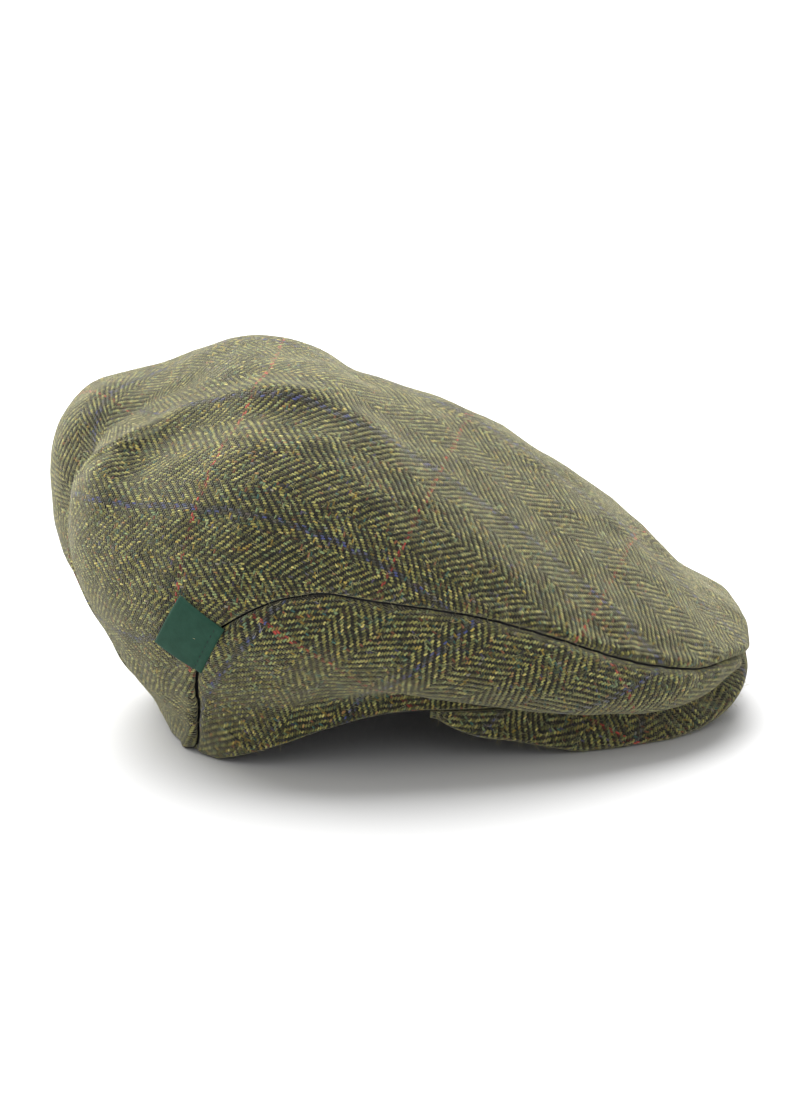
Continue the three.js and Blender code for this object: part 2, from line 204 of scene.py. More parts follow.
def crownNormals(surface, angle, level):
    normals = normalsOf(surface, angle, np.clip(level, 0.01, poleLevel - 0.02), 0.002, 0.01)
    normals[level > poleLevel - 0.01] = (0, 0, 1)
    return normals


def dentLift(points, angle, level):
    scale = np.array([cap["crownWidth"] / 2, cap["crownBack"], cap["crownHeight"]])
    lift = np.zeros(points.shape[:-1])
    for name, place, spread, height in dents:
        away = (points - np.array(place) * scale) / (np.array(spread) * scale)
        lift += height * np.exp(-(away ** 2).sum(-1))
    behind = np.clip(3 * np.cos(angle), 0, 1)
    depth = groove["depth"] * throughStations(groove["levels"], groove["shares"], level) * behind
    return lift - depth * np.exp(-((np.abs(points[..., 0]) / groove["width"]) ** 1.5))


def crownSurface(angle, level):
    points = smoothCrown(angle, level)
    lift = dentLift(points, angle, level)
    return points + crownNormals(smoothCrown, angle, level) * lift[..., None]


def seamLevel(degrees):
    folded = np.minimum(degrees, 360 - degrees)
    level = throughStations(sideSeam["angles"], sideSeam["levels"], folded)
    outside = (folded <= sideSeam["angles"][0]) | (folded >= sideSeam["angles"][-1])
    return np.where(outside, 0, level)


# Fine relief of the sewn cloth: valleys along the seams, the back dart and soft unevenness

relief = {
    "seamDepth": 1.3, "seamSpread": 1.6, "seamPuff": 0.6, "puffPlace": 4.0, "puffSpread": 2.6,
    "seamStep": 0.5, "stepSpread": 3.2, "pucker": 0.6, "puckerLength": 10.0, "puckerSlant": 0.4,
    "puckerBeat": 2.7, "puckerPlace": 2.5, "puckerSpread": 3.5,
    "dartDepth": 1.9, "dartSpread": 1.2, "dartRidge": 1.2, "ridgePlace": 2.3, "ridgeSpread": 1.1,
    "dartEnd": 6.8, "dartFade": 0.8,
    "dartLevels": (0, 3, 4.2, 5.2, 6, 7), "dartPlaces": (-1, -2, -6, -16, -19, -22),
    "unevenness": 0.42, "unevenLength": 20, "waves": 12, "seed": 7,
}

# the fold on the right shoulder: its distance from the middle at each distance to the back
fold = {
    "backs": (0, 30, 50, 67, 88, 104, 118), "places": (-50, -44, -37, -30, -21, -19, -24),
    "rise": 2.4, "spread": 6.0, "hollow": 1.5, "hollowPlace": 14, "hollowSpread": 9,
    "front": 5, "frontFade": 45, "back": 126, "backFade": 14, "fromLevel": 4.3, "levelFade": 0.7,
}


def seamCurve(side, count=420):
    degrees = np.linspace(sideSeam["angles"][0], sideSeam["angles"][-1], count)
    return crownSurface(side * np.radians(degrees), seamLevel(degrees))


seamCurves = np.concatenate([seamCurve(1), seamCurve(-1)])


def seamDistance(points):
    flat = points.reshape(-1, 3)
    nearest = np.empty(len(flat))
    for start in range(0, len(flat), 4000):
        part = flat[start:start + 4000, None] - seamCurves[None]
        nearest[start:start + 4000] = np.sqrt((part ** 2).sum(-1).min(1))
    return nearest.reshape(points.shape[:-1])


def unevenLift(points):
    random = np.random.default_rng(relief["seed"])
    lift = np.zeros(points.shape[:-1])
    for _ in range(relief["waves"]):
        direction = unit(random.normal(size=3))
        length = relief["unevenLength"] * random.uniform(0.6, 1.7)
        lift += np.sin(points @ direction * 2 * math.pi / length + random.uniform(0, 6.3))
    return relief["unevenness"] * lift / math.sqrt(relief["waves"])


def fineLift(points, angle, level):
    away = seamDistance(points)
    lift = -relief["seamDepth"] * np.exp(-(away / relief["seamSpread"]) ** 2)
    above = level > seamLevel(np.degrees(np.abs(np.angle(np.exp(1j * angle))))) - 0.001
    lift += np.where(above, 1, -1) * relief["seamStep"] * np.exp(-(away / relief["stepSpread"]) ** 2)
    slanted = points[..., 1] + relief["puckerSlant"] * points[..., 2]
    wave = np.sin(slanted * 2 * math.pi / relief["puckerLength"])
    wave = wave * np.sin(points[..., 1] * 2 * math.pi / (relief["puckerBeat"] * relief["puckerLength"]))
    lift += relief["pucker"] * wave * np.exp(-((away - relief["puckerPlace"]) / relief["puckerSpread"]) ** 2)
    lift += relief["seamPuff"] * np.exp(-((away - relief["puffPlace"]) / relief["puffSpread"]) ** 2)
    behind = np.clip(3 * np.cos(angle), 0, 1)
    inDart = behind * np.clip((relief["dartEnd"] - level) / relief["dartFade"], 0, 1)
    across = points[..., 0] - throughStations(relief["dartLevels"], relief["dartPlaces"], level)
    lift -= inDart * relief["dartDepth"] * np.exp(-(across / relief["dartSpread"]) ** 2)
    ridge = np.exp(-((across + relief["ridgePlace"]) / relief["ridgeSpread"]) ** 2)
    lift += inDart * relief["dartRidge"] * ridge
    return lift + unevenLift(points)


def foldLift(points, level):
    # the fold where the right side turns onto the top, with a shallow hollow below it
    f = fold
    beside = points[..., 0] - throughStations(f["backs"], f["places"], points[..., 1])
    window = np.clip((points[..., 1] - f["front"]) / f["frontFade"], 0, 1)
    window = window * np.clip((f["back"] - points[..., 1]) / f["backFade"], 0, 1)
    window = window * np.clip((level - f["fromLevel"]) / f["levelFade"], 0, 1)
    rise = f["rise"] * np.exp(-(beside / f["spread"]) ** 2)
    return window * (rise - f["hollow"] * np.exp(-((beside + f["hollowPlace"]) / f["hollowSpread"]) ** 2))


def crownPoints(angle, level, depth, fine=True):
    # points at some depth under the crown's surface, along its normals
    points = crownSurface(angle, level)
    lift = foldLift(points, level)
    if fine:
        lift = lift + fineLift(points, angle, level)
    normals = crownNormals(crownSurface, angle, level)
    return points + normals * (lift - depth)[..., None]


# Meshes

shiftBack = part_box("peak")[0].y * 1000 + 141  # the frame's origin lies under the cap's middle


def toFrame(points):
    moved = np.array(points, float) + (0, shiftBack, 0)
    moved[..., 2] = np.maximum(moved[..., 2], 0)
    return moved / 1000


def gridMesh(name, points, uv, closedAcross=True):
    # columns of points, each closed on itself, and joined from one column to the next
    columns, rows = points.shape[:2]
    index = np.arange(columns * rows).reshape(columns, rows)
    after = np.roll(index, -1, axis=1) if closedAcross else index[:, 1:]
    here = index if closedAcross else index[:, :-1]
    faces = np.stack([here[:-1], after[:-1], after[1:], here[1:]], -1).reshape(-1, 4)
    mesh = bpy.data.meshes.new(name)
    mesh.from_pydata(toFrame(points).reshape(-1, 3).tolist(), [], faces.tolist())
    layer = mesh.uv_layers.new(name="cloth")
    corner = np.empty(len(mesh.loops), int)
    mesh.loops.foreach_get("vertex_index", corner)
    layer.data.foreach_set("uv", (uv.reshape(-1, 2)[corner] / 1000).astype(np.float32).ravel())
    return mesh


def placed(name, data):
    piece = bpy.data.objects.new(name, data)
    scene.collection.objects.link(piece)
    return piece


def finished(name, mesh, material, capEnds=False):
    shell = bmesh.new()
    shell.from_mesh(mesh)
    bmesh.ops.remove_doubles(shell, verts=shell.verts, dist=2e-6)
    bmesh.ops.dissolve_degenerate(shell, edges=shell.edges, dist=1e-7)
    if capEnds:
        edges = [edge for edge in shell.edges if edge.is_boundary]
        bmesh.ops.holes_fill(shell, edges=edges, sides=0)
    if shell.calc_volume(signed=True) < 0:
        bmesh.ops.reverse_faces(shell, faces=shell.faces)
    shell.to_mesh(mesh)
    shell.free()
    mesh.materials.append(material)
    mesh.polygons.foreach_set("use_smooth", [True] * len(mesh.polygons))
    print(name, "has", len(mesh.polygons), "faces")
    return placed(name, mesh)


def smoothAlong(grid, count):
    # more columns through a coarse grid, by a smooth curve
    last = grid.shape[0] - 1
    at = np.linspace(0, last, count)
    start = np.clip(np.floor(at).astype(int), 0, last - 1)
    padded = np.concatenate([2 * grid[:1] - grid[1:2], grid, 2 * grid[-1:] - grid[-2:-1]])
    a, b, c, d = (padded[start + k] for k in range(4))
    return catmullRom(a, b, c, d, (at - start)[:, None, None])


def smoothGrid(grid, columns, rows):
    more = smoothAlong(grid, columns)
    return smoothAlong(more.swapaxes(0, 1), rows).swapaxes(0, 1)


def flatCloth(points, joined=None):
    # lays a grid of points flat as cloth and returns its flat places in mm; joined marks the
    # rows where the last column is the first
    columns, rows = points.shape[:2]
    index = np.arange(columns * rows).reshape(columns, rows)
    if joined is not None:
        index[-1, joined] = index[0, joined]
        index[:, -1] = index[0, -1]
    faces = np.stack([index[:-1, :-1], index[:-1, 1:], index[1:, 1:], index[1:, :-1]], -1).reshape(-1, 4)
    if joined is not None:
        faces = [list(dict.fromkeys(face)) for face in faces.tolist()]
    else:
        faces = faces.tolist()
    mesh = bpy.data.meshes.new("flatCloth")
    mesh.from_pydata((points.reshape(-1, 3) / 1000).tolist(), [], faces)
    piece = placed("flatCloth", mesh)
    loose = bmesh.new()
    loose.from_mesh(mesh)
    loose.verts.ensure_lookup_table()
    tag = loose.verts.layers.int.new("place")
    for vertex in loose.verts:
        vertex[tag] = vertex.index
    bmesh.ops.delete(loose, geom=[v for v in loose.verts if not v.link_faces], context="VERTS")
    loose.to_mesh(mesh)
    loose.free()
    bpy.context.view_layer.objects.active = piece
    piece.select_set(True)
    bpy.ops.object.mode_set(mode="EDIT")
    bpy.ops.mesh.select_all(action="SELECT")
    bpy.ops.uv.unwrap(method="MINIMUM_STRETCH", margin=0)
    bpy.ops.object.mode_set(mode="OBJECT")
    uv = np.empty(len(mesh.loops) * 2)
    mesh.uv_layers.active.data.foreach_get("uv", uv)
    uv = uv.reshape(-1, 2)
    corner = np.empty(len(mesh.loops), int)
    mesh.loops.foreach_get("vertex_index", corner)
    place = np.empty(len(mesh.vertices), int)
    mesh.attributes["place"].data.foreach_get("value", place)
    flat = np.zeros((columns * rows, 2))
    flat[place[corner]] = uv
    trueArea = sum(p.area for p in mesh.polygons) * 1e6
    flatArea = 0
    for p in mesh.polygons:
        ring = uv[list(p.loop_indices)]
        flatArea += np.sum(ring[:, 0] * np.roll(ring[:, 1], -1) - ring[:, 1] * np.roll(ring[:, 0], -1)) / 2
    flat *= math.sqrt(trueArea / abs(flatArea))
    if flatArea < 0:
        flat[:, 0] *= -1
    bpy.data.objects.remove(piece)
    bpy.data.meshes.remove(mesh)
    return flat[index]


def turned(flat, fromPoint, toPoint, turn, shift):
    # turns flat cloth so that the way between two of its points runs along the warp, then
    # by a given angle, and moves the first point to a given place
    way = flat[toPoint] - flat[fromPoint]
    angle = math.pi / 2 - math.atan2(way[1], way[0]) + math.radians(turn)
    c, s = math.cos(angle), math.sin(angle)
    local = flat - flat[fromPoint]
    places = [local[..., 0] * c - local[..., 1] * s, local[..., 0] * s + local[..., 1] * c]
    return np.stack(places, -1) + shift


# Panels

panels = {
    "columns": 520, "crowding": 0.62, "rows": 84, "innerRows": 14, "edgeSteps": 5,
    "sideColumns": 300, "sideRows": 40, "roundGap": 0.12, "probe": 0.05,
    "rowCrowding": 0.72, "sideRowCrowding": 0.6, "endCrowding": 0.12, "endMargin": 0.4,
    "coarseColumns": 104, "coarseRows": 25, "sideCoarseSteps": (6, 3), "edgeStretch": 1.4,
    "topTurn": -16.0, "topShift": (5.7, 30.9),
    "rightTurn": -50.0, "rightShift": (11.4, 28.5),
    "leftTurn": 50.0, "leftShift": (0.0, 0.0),
}


def edgeInset(angle, level):
    # levels that half the cloth's thickness takes up at a panel's edge
    rise = (crownSurface(angle, level + panels["probe"]) - crownSurface(angle, level)) / panels["probe"]
    edge = np.gradient(crownSurface(angle, level), axis=0)
    across = np.linalg.norm(np.cross(rise, unit(edge)), axis=-1)
    return (cap["clothThickness"] / 2 + panels["roundGap"]) / np.maximum(across, 4)


def panelPoints(angle, lower, upper, share, closedTop):
    # one panel as closed columns: up the outside, over the upper edge, down the inside and
    # round the lower edge
    thick = cap["clothThickness"]
    steps = panels["edgeSteps"]
    low = lower + np.minimum(edgeInset(angle, lower), 0.45 * (upper - lower))
    high = upper if closedTop else upper - np.minimum(edgeInset(angle, upper), 0.45 * (upper - lower))

    def rows(shares, depth):
        level = low[:, None] + (high - low)[:, None] * shares[None]
        wide = np.broadcast_to(angle[:, None], level.shape)
        return crownPoints(wide, level, depth)

    outer = rows(share, 0)
    inner = rows(np.linspace(0, 1, panels["innerRows"]), thick)[:, ::-1]

    def around(fromPoints, toPoints, outward):
        middle = (fromPoints + toPoints) / 2
        half = (fromPoints - toPoints) / 2
        reach = np.linalg.norm(half, axis=-1, keepdims=True)
        turn = np.linspace(0, math.pi, steps + 2)[1:-1]
        return np.stack([middle + half * math.cos(t) + outward * reach * math.sin(t) for t in turn], 1)

    downward = unit(outer[:, 0] - outer[:, 1])
    parts = [outer]
    if not closedTop:
        parts.append(around(outer[:, -1], inner[:, 0], unit(outer[:, -1] - outer[:, -2])))
    parts.append(inner)
    parts.append(around(inner[:, -1], outer[:, 0], downward))
    return np.concatenate(parts, 1), outer


def clothPlaces(outerUv, closedTop):
    # cloth places for the rows that go round the edges and up the inside
    rows = outerUv.shape[1]
    steps = panels["edgeSteps"]
    innerRows = panels["innerRows"]
    pick = list(range(rows))
    if not closedTop:
        pick += [rows - 1] * steps
    pick += [round(r) for r in np.linspace(rows - 1, 0, innerRows)]
    pick += [0] * steps
    uv = outerUv[:, pick].copy()
    down = unit(outerUv[:, 0] - outerUv[:, 1])
    for k in range(steps):
        reach = cap["clothThickness"] * panels["edgeStretch"] * (steps - k) / (steps + 1)
        uv[:, -steps + k] = outerUv[:, 0] + down * reach
    return uv


def crowded(count, crowding):
    # even steps, closer together near the back
    step = np.linspace(0, 2 * math.pi, count + 1)
    return step - crowding * np.sin(step)


def topRows(count):
    # shares of the way from the seam up to the pole
    step = np.linspace(0, 1, count)
    return step - panels["rowCrowding"] * np.sin(math.pi * step) / math.pi


def topPanel(material):
    angle = crowded(panels["columns"], panels["crowding"])
    lower = seamLevel(np.degrees(angle))
    upper = np.full(len(angle), float(poleLevel))
    points, outer = panelPoints(angle, lower, upper, topRows(panels["rows"]), True)
    coarseAngle = crowded(panels["coarseColumns"], panels["crowding"])
    coarseLower = seamLevel(np.degrees(coarseAngle))[:, None]
    level = coarseLower + (poleLevel - coarseLower) * topRows(panels["coarseRows"])[None]
    coarse = crownPoints(np.broadcast_to(coarseAngle[:, None], level.shape), level, 0, fine=False)
    flat = flatCloth(coarse, level[0] > relief["dartEnd"])
    half = len(coarseAngle) // 2
    flat = turned(flat, (half, 14), (half, 20), panels["topTurn"], panels["topShift"])
    uv = smoothGrid(flat, len(angle), panels["rows"])
    mesh = gridMesh("topPanelCloth", points, clothPlaces(uv, True))
    return finished("topPanelCloth", mesh, material), outer


def sidePanel(name, side, turn, shift, material):
    start, end = sideSeam["angles"][0], sideSeam["angles"][-1]
    margin = panels["endMargin"]
    step = np.linspace(0, 1, panels["sideColumns"])
    crowding = panels["endCrowding"] * np.sin(2 * math.pi * step)
    degrees = start + margin + (end - start - 2 * margin) * (step - crowding)
    angle = side * np.radians(degrees)
    rowStep = np.linspace(0, 1, panels["sideRows"])
    share = rowStep - panels["sideRowCrowding"] * np.sin(2 * math.pi * rowStep) / (2 * math.pi)
    points, outer = panelPoints(angle, np.zeros(len(angle)), seamLevel(degrees), share, False)
    columnStep, rowSkip = panels["sideCoarseSteps"]
    flat = flatCloth(outer[::columnStep, ::rowSkip])
    middle = flat.shape[0] // 2
    flat = turned(flat, (middle, 4), (middle, 10), turn, shift)
    uv = smoothGrid(flat, len(angle), panels["sideRows"])
    mesh = gridMesh(name, points, clothPlaces(uv, False))
    return finished(name, mesh, material, capEnds=True), outer


# Peak

peakSizes = {
    "reach": 141, "width": 164, "templeBack": 3, "lift": 20.5, "thickness": 4, "tipThickness": 1.4,
    "dome": 1, "gap": 0.75, "square": 2.7, "columns": 260, "rows": 26, "edgeSteps": 7,
    "edgeAngles": (90, 95.6, 103, 112, 121, 128, 144, 150, 156, 163, 170, 180),
    "edgeHeights": (0.88, 0.68, 0.46, 0.32, 0.14, 0.02, 0.04, 0.12, 0.28, 0.57, 0.85, 1.05),
    "turn": 42.0, "shift": (0.0, 0.0), "tipFade": 8, "edgeReach": 6.3, "underShift": (61.0, 37.0),
}


def peakRoot(along):
    p = peakSizes
    temple = 90 - math.degrees(math.asin((cap["headForward"] + p["templeBack"]) / (cap["headWidth"] / 2)))
    angle = np.radians(temple + (360 - 2 * temple) * along)
    points = ringPoints(rings[0], angle)
    points[..., 2] -= p["gap"]
    return points


def peakEdge(along):
    p = peakSizes
    degrees = 90 + 180 * along
    angle = np.radians(degrees)
    reach = ovalReach(angle, p["width"] / 2, p["reach"] + p["templeBack"], p["square"])
    folded = np.minimum(degrees, 360 - degrees)
    height = p["lift"] * throughStations(p["edgeAngles"], p["edgeHeights"], folded)
    return np.stack([-reach * np.sin(angle), p["templeBack"] + reach * np.cos(angle), height], -1)


def peakSurface(along, out):
    fromTemple = np.clip(6 * np.minimum(along, 1 - along), 0, 1)
    root, edge = peakRoot(along), peakEdge(along)
    dome = (root + edge) / 2
    dome[..., 2] += peakSizes["dome"] * fromTemple
    out = out[..., None]
    return root * (1 - out) ** 2 + dome * 2 * out * (1 - out) + edge * out * out


def peak(material):
    p = peakSizes
    along = np.linspace(0, 1, p["columns"])
    thick = p["tipThickness"] + (p["thickness"] - p["tipThickness"]) * np.clip(
        p["tipFade"] * np.minimum(along, 1 - along), 0, 1)
    width = np.linalg.norm(peakEdge(along) - peakRoot(along), axis=-1)
    last = 1 - np.minimum(thick / 2 / np.maximum(width, 1), 0.4)
    out = last[:, None] * np.linspace(0, 1, p["rows"])[None]
    wide = np.broadcast_to(along[:, None], out.shape)
    held = np.clip(wide, 0.01, 0.99)
    under = normalsOf(peakSurface, held, np.clip(out, 0.02, 0.98), 0.004, 0.02)
    top = peakSurface(wide, out)
    top = top - under * unevenLift(top)[..., None]
    bottom = top + under * thick[:, None, None]
    outward = unit(top[:, -1] - top[:, -2])
    middle = (top[:, -1] + bottom[:, -1]) / 2
    half = (top[:, -1] - bottom[:, -1]) / 2
    turns = np.linspace(0, math.pi, p["edgeSteps"] + 2)[1:-1]
    edge = np.stack([middle + half * math.cos(t) + outward * (thick / 2)[:, None] * math.sin(t)
                     for t in turns], 1)
    points = np.concatenate([top, edge, bottom[:, ::-1]], 1)
    flat = flatCloth(top[::5, ::3])
    centre = flat.shape[0] // 2
    flat = turned(flat, (centre, 0), (centre, flat.shape[1] - 1), p["turn"], p["shift"])
    uv = smoothGrid(flat, p["columns"], p["rows"])
    beyond = unit(uv[:, -1] - uv[:, -2])
    steps = np.arange(1, p["edgeSteps"] + 1) / (p["edgeSteps"] + 1)
    edgeUv = np.stack([uv[:, -1] + beyond * p["edgeReach"] * s for s in steps], 1)
    underUv = uv[:, ::-1] + p["underShift"]
    mesh = gridMesh("peakCloth", points, np.concatenate([uv, edgeUv, underUv], 1))
    return finished("peakCloth", mesh, material, capEnds=True), np.concatenate([top, edge], 1)


# Lining

liningSizes = {
    "thickness": 0.9, "gap": 0.6, "start": 0.15, "slack": 1.4,
    "slackLevels": (0, 0.5, 1, 3, 4, 9), "slackShares": (0, 0, 1, 1, 0, 0),
    "columns": 180, "rows": 54, "aroundPlace": 90, "upPlace": 22,
}


def lining(material):
    s = liningSizes
    angle = np.linspace(0, 2 * math.pi, s["columns"] + 1)
    level = s["start"] + (poleLevel - s["start"]) * np.linspace(0, 1, s["rows"])
    wide, tall = np.meshgrid(angle, level, indexing="ij")
    loose = s["slack"] * throughStations(s["slackLevels"], s["slackShares"], tall)
    depth = cap["clothThickness"] + s["gap"] + loose
    outer = crownPoints(wide, tall, depth, fine=False)
    inner = crownPoints(wide, tall, depth + s["thickness"], fine=False)
    points = np.concatenate([outer, inner[:, ::-1]], 1)
    places = np.stack([wide * s["aroundPlace"], tall * s["upPlace"]], -1)
    mesh = gridMesh("liningCloth", points, np.concatenate([places, places[:, ::-1]], 1))
    return finished("liningCloth", mesh, material)


# Materials

def feed(tree, socket, value):
    # a socket takes another socket, a colour or a number
    if isinstance(value, bpy.types.NodeSocket):
        tree.links.new(value, socket)
    else:
        socket.default_value = (*value, 1) if isinstance(value, tuple) else value


def nodeMath(tree, operation, *values):
    node = tree.nodes.new("ShaderNodeMath")
    node.operation = operation
    for socket, value in zip(node.inputs, values):
        feed(tree, socket, value)
    return node.outputs[0]


def nodeVector(tree, x, y, z=0.0):
    node = tree.nodes.new("ShaderNodeCombineXYZ")
    for socket, value in zip(node.inputs, (x, y, z)):
        feed(tree, socket, value)
    return node.outputs[0]


def nodeMix(tree, amount, first, second, blend="MIX"):
    node = tree.nodes.new("ShaderNodeMix")
    node.data_type = "RGBA"
    node.blend_type = blend
    for socket, value in zip((node.inputs[0], node.inputs[6], node.inputs[7]), (amount, first, second)):
        feed(tree, socket, value)
    node.clamp_result = False
    return node.outputs[2]


def nodeRamp(tree, amount, stops, smooth=True):
    node = tree.nodes.new("ShaderNodeValToRGB")
    node.color_ramp.interpolation = "LINEAR" if smooth else "CONSTANT"
    while len(node.color_ramp.elements) < len(stops):
        node.color_ramp.elements.new(1)
    for element, (place, colour) in zip(node.color_ramp.elements, stops):
        element.position = place
        element.color = (*colour, 1)
    tree.links.new(amount, node.inputs[0])
    return node.outputs[0]


def nodeNoise(tree, vector, scale, detail=2.0, rough=0.5):
    node = tree.nodes.new("ShaderNodeTexNoise")
    node.inputs["Scale"].default_value = scale
    node.inputs["Detail"].default_value = detail
    node.inputs["Roughness"].default_value = rough
    tree.links.new(vector, node.inputs["Vector"])
    return node.outputs[0]


def plainMaterial(name, roughness, sheen=0.0, sheenTint=(1, 1, 1)):
    material = bpy.data.materials.new(name)
    material.use_nodes = True
    shader = material.node_tree.nodes["Principled BSDF"]
    shader.inputs["Roughness"].default_value = roughness
    shader.inputs["Sheen Weight"].default_value = sheen
    shader.inputs["Sheen Roughness"].default_value = 0.35
    shader.inputs["Sheen Tint"].default_value = (*sheenTint, 1)
    return material, material.node_tree, shader


def addBump(tree, shader, height, strength, distance):
    bump = tree.nodes.new("ShaderNodeBump")
    bump.inputs["Strength"].default_value = strength
    bump.inputs["Distance"].default_value = distance
    tree.links.new(height, bump.inputs["Height"])
    tree.links.new(bump.outputs[0], shader.inputs["Normal"])


tweed = {
    "yarn": 0.8, "yarnsPerColumn": 18, "blueEvery": 64, "redEvery": 99, "redYarns": 2, "blueYarns": 3,
    "wander": 1.2, "wanderScale": 150, "jitter": 0.4, "jitterScale": 800,
    "bump": 0.8, "bumpDepth": 0.0005, "twist": 0.06, "hair": 0.6, "hairScale": 2600,
    "roughness": 0.95, "sheen": 0.56, "sheenTint": (1.0, 0.95, 0.66),
    "lightYarn": [(0.22, (0.072, 0.074, 0.022)), (0.38, (0.174, 0.168, 0.046)),
                  (0.50, (0.290, 0.262, 0.072)), (0.60, (0.150, 0.180, 0.070)),
                  (0.72, (0.430, 0.370, 0.115)), (0.85, (0.270, 0.165, 0.047))],
    "darkYarn": [(0.22, (0.007, 0.007, 0.005)), (0.42, (0.014, 0.014, 0.009)), (0.56, (0.028, 0.018, 0.011)),
                 (0.70, (0.015, 0.027, 0.014)), (0.85, (0.074, 0.064, 0.024))],
    "flecks": [(0.0, (0.030, 0.100, 0.085)), (0.25, (0.230, 0.080, 0.035)), (0.45, (0.070, 0.062, 0.120)),
               (0.6, (0.330, 0.220, 0.035)), (0.8, (0.190, 0.260, 0.120))],
    "fleckFrom": 0.86, "fleckShare": 0.6,
    "red": (0.300, 0.040, 0.028), "redShare": 0.78, "blue": (0.036, 0.044, 0.135), "blueShare": 0.78,
    # dullest and brightest set the painted glints; between and crown set the painted shade between the yarns
    "dullest": 0.41, "brightest": 1.5, "between": 0.3, "crown": 0.8, "grain": 1.5, "grainScale": 2400,
}


def tweedMaterial():
    t = tweed
    material, tree, shader = plainMaterial("herringboneTweed", t["roughness"], t["sheen"], t["sheenTint"])
    m = lambda operation, *values: nodeMath(tree, operation, *values)
    uvNode = tree.nodes.new("ShaderNodeUVMap")
    uvNode.uv_map = "cloth"
    split = tree.nodes.new("ShaderNodeSeparateXYZ")
    tree.links.new(uvNode.outputs[0], split.inputs[0])
    crossed = nodeVector(tree, split.outputs[1], split.outputs[0], 3.0)
    perYarn = 1000 / t["yarn"]

    def wandering(position, place):
        slow = m("SUBTRACT", nodeNoise(tree, place, t["wanderScale"], 2), 0.5)
        quick = m("SUBTRACT", nodeNoise(tree, place, t["jitterScale"], 1), 0.5)
        stray = m("ADD", m("MULTIPLY", slow, 2 * t["wander"]), m("MULTIPLY", quick, 2 * t["jitter"]))
        return m("ADD", m("MULTIPLY", position, perYarn), stray)

    def hump(x):
        return m("SUBTRACT", 1, m("POWER", m("ABSOLUTE", m("SUBTRACT", m("MULTIPLY", x, 2), 1)), 2))

    def choose(condition, yes, no):
        return m("ADD", m("MULTIPLY", condition, yes), m("MULTIPLY", m("SUBTRACT", 1, condition), no))

    across = wandering(split.outputs[0], uvNode.outputs[0])
    along = wandering(split.outputs[1], crossed)
    warp = m("FLOOR", across)
    weft = m("FLOOR", along)
    # the ribs change their lean from column to column
    column = m("FLOOR", m("DIVIDE", m("ADD", warp, 0.5), t["yarnsPerColumn"]))
    lean = m("SUBTRACT", 1, m("MULTIPLY", m("ROUND", m("FLOORED_MODULO", column, 2)), 2))
    order = m("DIVIDE", m("ADD", m("ADD", m("MULTIPLY", warp, lean), weft), 0.25), 4)
    warpOver = m("LESS_THAN", m("FRACT", order), 0.5)
    # round yarns that dive under their neighbours at the ends of each float
    warpRun = m("FRACT", m("DIVIDE", m("ADD", m("MULTIPLY", warp, lean), along), 4))
    weftRun = m("FRACT", m("DIVIDE", m("ADD", m("ADD", m("MULTIPLY", across, lean), weft),
                                       m("DIVIDE", m("SUBTRACT", 1, lean), 2)), 4))
    warpDive = hump(m("MINIMUM", m("MULTIPLY", warpRun, 2), 1))
    weftDive = hump(m("MAXIMUM", m("SUBTRACT", m("MULTIPLY", weftRun, 2), 1), 0))
    warpHeight = m("MULTIPLY", hump(m("FRACT", across)), m("ADD", 0.4, m("MULTIPLY", warpDive, 0.6)))
    weftHeight = m("MULTIPLY", hump(m("FRACT", along)), m("ADD", 0.4, m("MULTIPLY", weftDive, 0.6)))
    height = choose(warpOver, warpHeight, weftHeight)
    # each float has its own tone and its own strength of painted glint
    noise = tree.nodes.new("ShaderNodeTexWhiteNoise")
    noise.noise_dimensions = "3D"
    floatPlace = nodeVector(tree, choose(warpOver, warp, weft), m("FLOOR", order),
                            m("ADD", column, m("MULTIPLY", warpOver, 71.3)))
    tree.links.new(floatPlace, noise.inputs["Vector"])
    luck = tree.nodes.new("ShaderNodeSeparateColor")
    tree.links.new(noise.outputs["Color"], luck.inputs[0])
    # and every yarn is spun from many colours
    warpPlace = nodeVector(tree, m("MULTIPLY", warp, 7.31), m("MULTIPLY", along, 0.35))
    weftPlace = nodeVector(tree, m("MULTIPLY", across, 0.35), m("MULTIPLY", weft, 7.31), 9.0)
    warpSpun = nodeNoise(tree, warpPlace, 1.0, 2.0, 0.6)
    weftSpun = nodeNoise(tree, weftPlace, 1.0, 2.0, 0.6)

    def tone(spun):
        return m("ADD", m("MULTIPLY", spun, 0.62), m("MULTIPLY", luck.outputs[0], 0.38))

    light = nodeRamp(tree, tone(warpSpun), t["lightYarn"])
    dark = nodeRamp(tree, tone(weftSpun), t["darkYarn"])
    cloth = nodeMix(tree, warpOver, dark, light)
    # flecks of other colours come in loose groups
    patch = nodeNoise(tree, uvNode.outputs[0], 90, 3, 0.6)
    fleck = nodeRamp(tree, m("FRACT", m("MULTIPLY", luck.outputs[2], 37.0)), t["flecks"], smooth=False)
    scatter = m("ADD", luck.outputs[2], m("MULTIPLY", m("SUBTRACT", patch, 0.5), 0.5))
    fleckShare = m("MULTIPLY", m("GREATER_THAN", scatter, t["fleckFrom"]), t["fleckShare"])
    cloth = nodeMix(tree, fleckShare, cloth, fleck)
    # the thin check, broken up by the yarns that cross it
    inRed = m("LESS_THAN", m("FLOORED_MODULO", weft, t["redEvery"]), t["redYarns"])
    redShare = m("MULTIPLY", m("MULTIPLY", inRed, m("SUBTRACT", 1, warpOver)), t["redShare"])
    cloth = nodeMix(tree, m("MULTIPLY", redShare, m("ADD", 0.3, luck.outputs[1])), cloth, t["red"])
    inBlue = m("LESS_THAN", m("FLOORED_MODULO", warp, t["blueEvery"]), t["blueYarns"])
    blueShare = m("MULTIPLY", m("MULTIPLY", inBlue, warpOver), t["blueShare"])
    cloth = nodeMix(tree, m("MULTIPLY", blueShare, m("ADD", 0.3, luck.outputs[1])), cloth, t["blue"])
